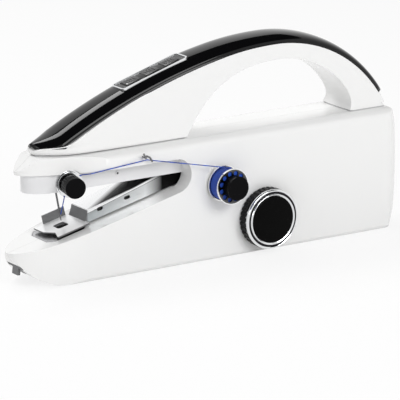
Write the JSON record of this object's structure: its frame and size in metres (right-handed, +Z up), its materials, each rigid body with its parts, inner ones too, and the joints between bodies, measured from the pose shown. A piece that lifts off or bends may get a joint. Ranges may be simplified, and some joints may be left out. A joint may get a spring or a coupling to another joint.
{
  "type": "handheld sewing machine",
  "caption": "Cordless handheld sewing machine with a closed grip, an open throat, a sprung steel fabric arm, side bobbin, tension knob and handwheel.",
  "frame": {"origin": "centre of the flat underside, midway along the body and on its middle plane", "axes": "+X towards the rear, nose towards -X; -Y is the side with the handwheel and bobbin; +Z up"},
  "size_m": [0.254, 0.0564, 0.1215],
  "materials": {
    "white_plastic": "gloss moulded ABS",
    "light_grey_plastic": "satin moulded ABS",
    "black_plastic": "high gloss moulded ABS",
    "dark_panel": "satin moulded",
    "chrome": "bright plated",
    "steel": "turned",
    "polished_sheet": "polished spring steel sheet",
    "dark_steel": "oiled black",
    "cast_arm": "die cast",
    "bronze": "sintered",
    "brass": "turned",
    "nylon": "moulded acetal",
    "motor_can": "drawn and plated",
    "circuit_board": "solder mask",
    "black_tray": "moulded",
    "cell_jacket": "printed film jacket, plain",
    "blue_thread": "spun polyester thread"
  },
  "bodies": {
    "root": {"front_shell": "white_plastic", "back_shell": "white_plastic", "handle_shell": "white_plastic", "needle_casing": "light_grey_plastic", "handle_cover": "black_plastic", "dc_socket": "black_plastic", "button_panel": "dark_panel", "panel_trim": "chrome", "tension_discs": "chrome", "bobbin_spindle": "chrome", "thread_guide": "chrome", "housing_screws": "steel", "handle_screws": "steel", "idler_pin": "steel", "arm_pivot_pin": "steel", "presser_pin": "steel", "looper_pin": "steel", "tension_stud": "steel", "tension_spring": "steel", "contact_springs": "steel", "contact_plates": "steel", "needle_plate": "polished_sheet", "casing_screw": "dark_steel", "presser_spring": "dark_steel", "front_bush": "bronze", "inner_bush": "bronze", "motor": "motor_can", "motor_bracket": "motor_can", "button_board": "circuit_board", "battery_tray": "black_tray", "battery_cells": "cell_jacket", "thread_upper": "blue_thread"},
    "handwheel": {"handwheel": "black_plastic", "handwheel_ring": "chrome", "handwheel_cap": "black_plastic", "main_shaft": "steel", "drive_gear": "nylon", "crank_disc": "dark_steel", "looper_cam": "dark_steel"},
    "idler": {"idler_gear": "nylon"},
    "motor_rotor": {"motor_shaft": "steel", "motor_pinion": "brass"},
    "needle_arm": {"needle_arm": "cast_arm", "needle_clamp": "steel", "clamp_screw": "dark_steel", "needle": "steel", "thread_lower": "blue_thread"},
    "connecting_rod": {"connecting_rod": "cast_arm"},
    "presser": {"presser_arm": "polished_sheet"},
    "looper_rod": {"looper_rod": "cast_arm"},
    "looper": {"looper": "dark_steel"},
    "slide_plate": {"slide_plate": "polished_sheet"},
    "power_button": {"power_button": "dark_panel"},
    "speed_button": {"speed_button": "dark_panel"},
    "lamp_button": {"lamp_button": "dark_panel"},
    "bobbin": {"bobbin": "chrome", "bobbin_thread": "blue_thread"},
    "bobbin_cap": {"bobbin_cap": "black_plastic"},
    "tension_knob": {"tension_knob": "black_plastic"},
    "battery_door": {"battery_door": "white_plastic"}
  },
  "joints": [
    {"name": "handwheel_spin", "type": "hinge", "parent": "root", "child": "handwheel", "pos_m": [0.029, 0, 0.0203], "axis": [0, 1, 0], "continuous": true},
    {"name": "idler_spin", "type": "hinge", "parent": "root", "child": "idler", "pos_m": [0.03903, 0, 0.03225], "axis": [0, 1, 0], "continuous": true},
    {"name": "motor_spin", "type": "hinge", "parent": "root", "child": "motor_rotor", "pos_m": [0.05153, 0, 0.03808], "axis": [0, 1, 0], "continuous": true},
    {"name": "needle_arm_swing", "type": "hinge", "parent": "root", "child": "needle_arm", "pos_m": [-0.0135, 0, 0.062], "axis": [0, 1, 0], "range_deg": [-4.5, 4.5], "deforming": ["thread_lower"]},
    {"name": "connecting_rod_swing", "type": "hinge", "parent": "needle_arm", "child": "connecting_rod", "pos_m": [0.03, 0, 0.062], "axis": [0, 1, 0], "range_deg": [-5, 5]},
    {"name": "presser_lift", "type": "hinge", "parent": "root", "child": "presser", "pos_m": [-0.0098, 0, 0.0503], "axis": [0, 1, 0], "range_deg": [0, 8], "stiffness_Nm_per_rad": 0.12, "springref_deg": -20.05},
    {"name": "looper_rod_slide", "type": "slide", "parent": "root", "child": "looper_rod", "axis": [1, 0, 0], "range_m": [-0.0016, 0.0016]},
    {"name": "looper_swing", "type": "hinge", "parent": "root", "child": "looper", "pos_m": [-0.0779, 0, 0.0125], "axis": [0, 1, 0], "range_deg": [-13, 13]},
    {"name": "slide_plate_slide", "type": "slide", "parent": "root", "child": "slide_plate", "axis": [-0.9925, 0, 0.1219], "range_m": [0, 0.026]},
    {"name": "power_button_press", "type": "slide", "parent": "root", "child": "power_button", "axis": [0.2927, 0, -0.9562], "range_m": [0, 0.001], "stiffness_N_per_m": 350, "springref_m": -0.0006},
    {"name": "speed_button_press", "type": "slide", "parent": "root", "child": "speed_button", "axis": [0.2927, 0, -0.9562], "range_m": [0, 0.001], "stiffness_N_per_m": 350, "springref_m": -0.0006},
    {"name": "lamp_button_press", "type": "slide", "parent": "root", "child": "lamp_button", "axis": [0.2927, 0, -0.9562], "range_m": [0, 0.001], "stiffness_N_per_m": 350, "springref_m": -0.0006},
    {"name": "bobbin_spin", "type": "hinge", "parent": "root", "child": "bobbin", "pos_m": [0.0004, 0, 0.044], "axis": [0, 1, 0], "continuous": true},
    {"name": "bobbin_cap_pull", "type": "slide", "parent": "root", "child": "bobbin_cap", "axis": [0, -1, 0], "range_m": [0, 0.02]},
    {"name": "tension_knob_turn", "type": "hinge", "parent": "root", "child": "tension_knob", "pos_m": [-0.0941, -0.0105, 0.0555], "axis": [-0.225, -0.9744, 0], "range_deg": [-360, 360]},
    {"name": "battery_door_slide", "type": "slide", "parent": "root", "child": "battery_door", "axis": [0, 1, 0], "range_m": [0, 0.03]}
  ],
  "couplings": [
    {"joint": "idler_spin", "follows": "handwheel_spin", "ratio": -3.3333},
    {"joint": "motor_spin", "follows": "handwheel_spin", "ratio": 12},
    {"joint": "looper_swing", "follows": "looper_rod_slide", "rad_per_m": -125}
  ]
}
